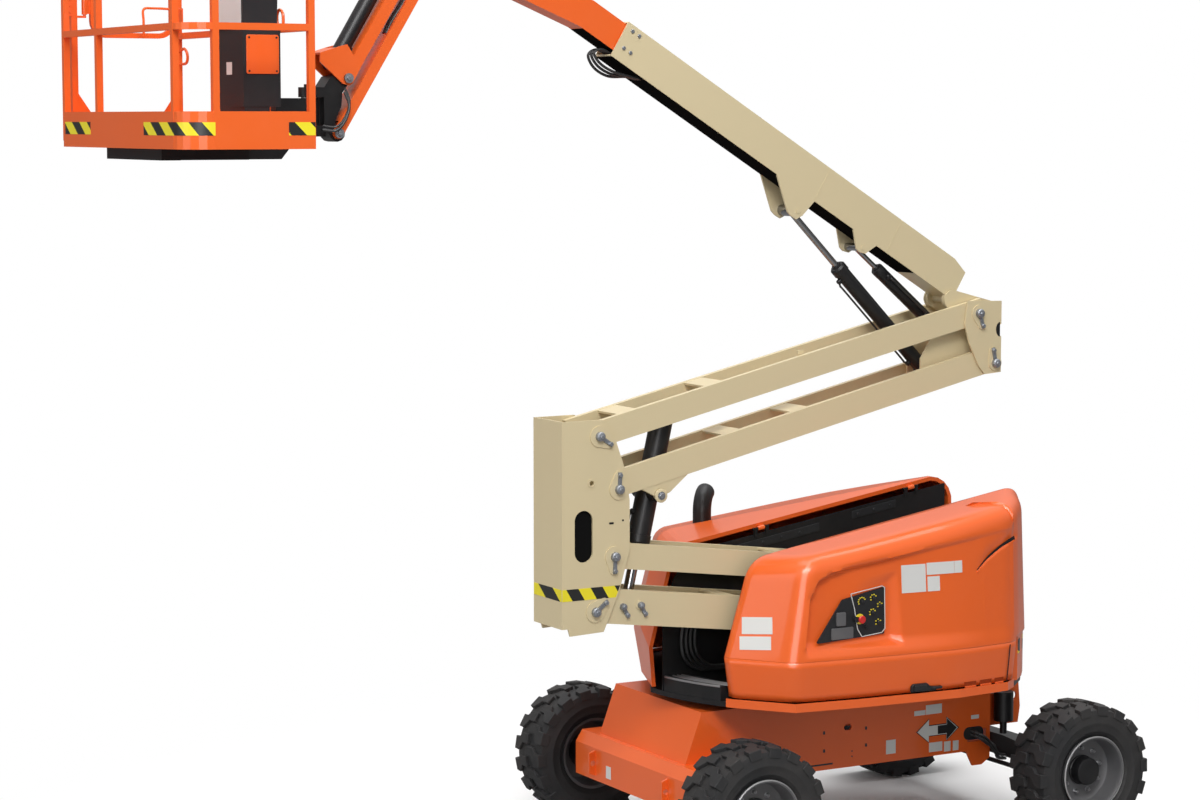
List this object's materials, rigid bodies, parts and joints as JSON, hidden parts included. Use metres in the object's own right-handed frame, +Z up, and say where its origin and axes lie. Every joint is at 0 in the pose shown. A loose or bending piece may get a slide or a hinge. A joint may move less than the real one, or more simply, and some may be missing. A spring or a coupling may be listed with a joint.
{
  "type": "articulating boom lift",
  "caption": "Self-propelled articulating boom lift on four wheels, with a two-stage tower, a telescopic main boom, a jib and a railed work platform.",
  "frame": {"origin": "on the ground under the slew axis, midway between the axles", "axes": "+X towards the steered axle, -X towards the platform, -Y the side with the ground controls, +Z up"},
  "size_m": [6.2219, 2.418, 5.8042],
  "materials": {
    "orange_paint": "gloss",
    "cream_paint": "gloss",
    "black_paint": "satin",
    "rim_grey": "satin",
    "tyre_rubber": "matte",
    "rod_chrome": "polished",
    "bearing_steel": "satin",
    "black_plastic": "matte"
  },
  "bodies": {
    "chassis": {"chassis_frame": "orange_paint", "drive_hubs": "black_paint", "steer_axle": "black_paint", "lockout_cylinders": "black_paint", "swing_bearing": "bearing_steel"},
    "wheel_drive_near": {"tyre_drive_near": "tyre_rubber", "rim_drive_near": "rim_grey"},
    "wheel_drive_far": {"tyre_drive_far": "tyre_rubber", "rim_drive_far": "rim_grey"},
    "knuckle_near": {"steer_knuckle_near": "black_paint"},
    "knuckle_far": {"steer_knuckle_far": "black_paint"},
    "tie_rod": {"tie_rod": "black_paint"},
    "wheel_steer_near": {"tyre_steer_near": "tyre_rubber", "rim_steer_near": "rim_grey"},
    "wheel_steer_far": {"tyre_steer_far": "tyre_rubber", "rim_steer_far": "rim_grey"},
    "turntable": {"turntable_deck": "black_paint", "turntable_skirt": "orange_paint", "counterweight": "orange_paint", "link_tower": "black_paint", "engine_block": "black_paint", "fuel_tank": "black_plastic", "well_walls": "black_paint"},
    "hood_near": {"hood_near": "orange_paint", "ground_controls": "black_plastic"},
    "hood_far": {"hood_far": "orange_paint", "exhaust_stack": "black_paint"},
    "lower_arm_top": {"lower_arm_top": "cream_paint"},
    "lower_arm_low": {"lower_arm_low": "cream_paint"},
    "upright": {"upright": "cream_paint"},
    "upper_arm_top": {"upper_arm_top": "cream_paint"},
    "upper_arm_low": {"upper_arm_low": "cream_paint"},
    "riser": {"riser": "cream_paint"},
    "tower_cylinder_barrel": {"tower_cylinder_barrel": "black_paint"},
    "tower_cylinder_rod": {"tower_cylinder_rod": "rod_chrome"},
    "boom": {"boom_base": "cream_paint"},
    "lift_cylinder_barrel": {"lift_cylinder_barrel": "black_paint"},
    "lift_cylinder_rod": {"lift_cylinder_rod": "rod_chrome"},
    "master_cylinder_barrel": {"master_cylinder_barrel": "black_paint"},
    "master_cylinder_rod": {"master_cylinder_rod": "rod_chrome"},
    "fly": {"fly_boom": "orange_paint"},
    "nose_bracket": {"nose_bracket": "orange_paint"},
    "nose_cylinder_barrel": {"nose_cylinder_barrel": "black_paint"},
    "nose_cylinder_rod": {"nose_cylinder_rod": "rod_chrome"},
    "jib": {"jib_tube": "orange_paint"},
    "jib_link": {"jib_link": "orange_paint"},
    "jib_cylinder_barrel": {"jib_cylinder_barrel": "black_paint"},
    "jib_cylinder_rod": {"jib_cylinder_rod": "rod_chrome"},
    "platform_head": {"platform_head": "black_paint"},
    "platform": {"platform_basket": "orange_paint", "platform_support": "black_paint", "control_console": "black_plastic"},
    "platform_gate": {"platform_gate": "orange_paint"}
  },
  "joints": [
    {"name": "wheel_drive_near", "type": "hinge", "parent": "chassis", "child": "wheel_drive_near", "pos_m": [-1.17, -0.975, 0.4155], "axis": [0, 1, 0], "continuous": true},
    {"name": "wheel_drive_far", "type": "hinge", "parent": "chassis", "child": "wheel_drive_far", "pos_m": [-1.17, 0.975, 0.4155], "axis": [0, 1, 0], "continuous": true},
    {"name": "steer_near", "type": "hinge", "parent": "chassis", "child": "knuckle_near", "pos_m": [1.17, -0.7, 0.4155], "axis": [0, 0, 1], "range_deg": [-30, 30]},
    {"name": "steer_far", "type": "hinge", "parent": "chassis", "child": "knuckle_far", "pos_m": [1.17, 0.7, 0.4155], "axis": [0, 0, 1], "range_deg": [-30.1, 30.1]},
    {"name": "tie_rod", "type": "slide", "parent": "chassis", "child": "tie_rod", "axis": [0, 1, 0], "range_m": [-0.0795, 0.0795]},
    {"name": "wheel_steer_near", "type": "hinge", "parent": "knuckle_near", "child": "wheel_steer_near", "pos_m": [1.17, -0.975, 0.4155], "axis": [0, 1, 0], "continuous": true},
    {"name": "wheel_steer_far", "type": "hinge", "parent": "knuckle_far", "child": "wheel_steer_far", "pos_m": [1.17, 0.975, 0.4155], "axis": [0, 1, 0], "continuous": true},
    {"name": "slew", "type": "hinge", "parent": "chassis", "child": "turntable", "pos_m": [0, 0, 0.94], "axis": [0, 0, 1], "range_deg": [-177.5, 177.5]},
    {"name": "hood_near", "type": "hinge", "parent": "turntable", "child": "hood_near", "pos_m": [0, -0.59, 1.93197], "axis": [-0.9871, 0, -0.1603], "range_deg": [0, 60]},
    {"name": "hood_far", "type": "hinge", "parent": "turntable", "child": "hood_far", "pos_m": [0, -0.15, 2.00376], "axis": [0.9875, 0, 0.1578], "range_deg": [0, 60]},
    {"name": "tower_lift", "type": "hinge", "parent": "turntable", "child": "lower_arm_top", "pos_m": [0.69945, -0.37, 1.55489], "axis": [0, 1, 0], "range_deg": [-10, 50]},
    {"name": "lower_arm_low", "type": "hinge", "parent": "turntable", "child": "lower_arm_low", "pos_m": [0.57545, -0.37, 1.24989], "axis": [0, 1, 0], "range_deg": [-10, 50]},
    {"name": "upright_level", "type": "hinge", "parent": "lower_arm_top", "child": "upright", "pos_m": [-1.815, -0.37, 1.877], "axis": [0, 1, 0], "range_deg": [-50, 10]},
    {"name": "upper_arm_top", "type": "hinge", "parent": "upright", "child": "upper_arm_top", "pos_m": [-1.913, -0.37, 2.563], "axis": [0, -1, 0], "range_deg": [-13, 65]},
    {"name": "upper_arm_low", "type": "hinge", "parent": "upright", "child": "upper_arm_low", "pos_m": [-1.788, -0.37, 2.258], "axis": [0, -1, 0], "range_deg": [-13, 65]},
    {"name": "riser_level", "type": "hinge", "parent": "upper_arm_top", "child": "riser", "pos_m": [0.70729, -0.37, 3.16698], "axis": [0, 1, 0], "range_deg": [-13, 65]},
    {"name": "tower_cylinder_swing", "type": "hinge", "parent": "upper_arm_low", "child": "tower_cylinder_barrel", "pos_m": [-1.504, -0.37, 2.202], "axis": [0, 1, 0], "range_deg": [-11.63, 58.17]},
    {"name": "tower_cylinder_rod", "type": "slide", "parent": "tower_cylinder_barrel", "child": "tower_cylinder_rod", "axis": [-0.2216, 0, -0.9751], "range_m": [-0.10701, 0.53105]},
    {"name": "boom_lift", "type": "hinge", "parent": "riser", "child": "boom", "pos_m": [0.555, -0.37, 3.25], "axis": [0, 1, 0], "range_deg": [-29, 44]},
    {"name": "lift_cylinder_swing", "type": "hinge", "parent": "riser", "child": "lift_cylinder_barrel", "pos_m": [0.43, -0.37, 2.822], "axis": [0, 1, 0], "range_deg": [-24.25, 36.8]},
    {"name": "lift_cylinder_rod", "type": "slide", "parent": "lift_cylinder_barrel", "child": "lift_cylinder_rod", "axis": [-0.706, 0, 0.7082], "range_m": [-0.1786, 0.27046]},
    {"name": "master_cylinder_swing", "type": "hinge", "parent": "riser", "child": "master_cylinder_barrel", "pos_m": [0.5, -0.37, 3.088], "axis": [0, 1, 0], "range_deg": [-26.34, 39.97]},
    {"name": "master_cylinder_rod", "type": "slide", "parent": "master_cylinder_barrel", "child": "master_cylinder_rod", "axis": [-0.7674, 0, 0.6412], "range_m": [-0.07372, 0.11133]},
    {"name": "boom_extend", "type": "slide", "parent": "boom", "child": "fly", "axis": [-0.8545, 0, 0.5195], "range_m": [0, 1.7]},
    {"name": "nose_level", "type": "hinge", "parent": "fly", "child": "nose_bracket", "pos_m": [-2.56, -0.37, 5.161], "axis": [0, 1, 0], "range_deg": [-44, 29]},
    {"name": "nose_cylinder_swing", "type": "hinge", "parent": "fly", "child": "nose_cylinder_barrel", "pos_m": [-2.01, -0.37, 5.085], "axis": [0, 1, 0], "range_deg": [-5.48, 3.61]},
    {"name": "nose_cylinder_rod", "type": "slide", "parent": "nose_cylinder_barrel", "child": "nose_cylinder_rod", "axis": [-0.8938, 0, 0.4486], "range_m": [-0.08324, 0.12577]},
    {"name": "jib_lift", "type": "hinge", "parent": "nose_bracket", "child": "jib", "pos_m": [-2.73957, -0.37, 5.59987], "axis": [0, 1, 0], "range_deg": [-1.8, 135]},
    {"name": "jib_link", "type": "hinge", "parent": "nose_bracket", "child": "jib_link", "pos_m": [-2.79657, -0.37, 5.30887], "axis": [0, 1, 0], "range_deg": [-1.8, 135]},
    {"name": "head_level", "type": "hinge", "parent": "jib", "child": "platform_head", "pos_m": [-3.393, -0.37, 4.546], "axis": [0, 1, 0], "range_deg": [-135, 1.8]},
    {"name": "jib_cylinder_swing", "type": "hinge", "parent": "jib", "child": "jib_cylinder_barrel", "pos_m": [-3.4451, -0.37, 4.61948], "axis": [0, 1, 0], "range_deg": [-0.9256, 0.0133]},
    {"name": "jib_cylinder_rod", "type": "slide", "parent": "jib_cylinder_barrel", "child": "jib_cylinder_rod", "axis": [0.5213, 0, 0.8534], "range_m": [-0.33765, 0.00549]},
    {"name": "platform_turn", "type": "hinge", "parent": "platform_head", "child": "platform", "pos_m": [-3.585, -0.37, 4.37], "axis": [0, 0, 1], "range_deg": [-90, 90]},
    {"name": "gate", "type": "hinge", "parent": "platform", "child": "platform_gate", "pos_m": [-4.502, 0.528, 4.8], "axis": [0, 0, -1], "range_deg": [0, 85]}
  ],
  "couplings": [
    {"joint": "steer_far", "follows": "steer_near", "ratio": 1},
    {"joint": "tie_rod", "follows": "steer_near", "m_per_rad": -0.15},
    {"joint": "lower_arm_low", "follows": "tower_lift", "ratio": 1},
    {"joint": "upright_level", "follows": "tower_lift", "ratio": -1},
    {"joint": "upper_arm_top", "follows": "tower_lift", "ratio": 1.3},
    {"joint": "upper_arm_low", "follows": "tower_lift", "ratio": 1.3},
    {"joint": "riser_level", "follows": "tower_lift", "ratio": 1.3},
    {"joint": "tower_cylinder_swing", "follows": "tower_lift", "ratio": 1.1634},
    {"joint": "tower_cylinder_rod", "follows": "tower_lift", "m_per_rad": 0.60739},
    {"joint": "lift_cylinder_swing", "follows": "boom_lift", "ratio": 0.83631},
    {"joint": "lift_cylinder_rod", "follows": "boom_lift", "m_per_rad": 0.35089},
    {"joint": "master_cylinder_swing", "follows": "boom_lift", "ratio": 0.90831},
    {"joint": "master_cylinder_rod", "follows": "boom_lift", "m_per_rad": 0.14367},
    {"joint": "nose_level", "follows": "boom_lift", "ratio": -1},
    {"joint": "nose_cylinder_swing", "follows": "boom_lift", "ratio": -0.12443},
    {"joint": "nose_cylinder_rod", "follows": "boom_lift", "m_per_rad": 0.16247},
    {"joint": "jib_link", "follows": "jib_lift", "ratio": 1},
    {"joint": "head_level", "follows": "jib_lift", "ratio": -1},
    {"joint": "jib_cylinder_swing", "follows": "jib_lift", "ratio": -0.006849},
    {"joint": "jib_cylinder_rod", "follows": "jib_lift", "m_per_rad": -0.14288}
  ]
}
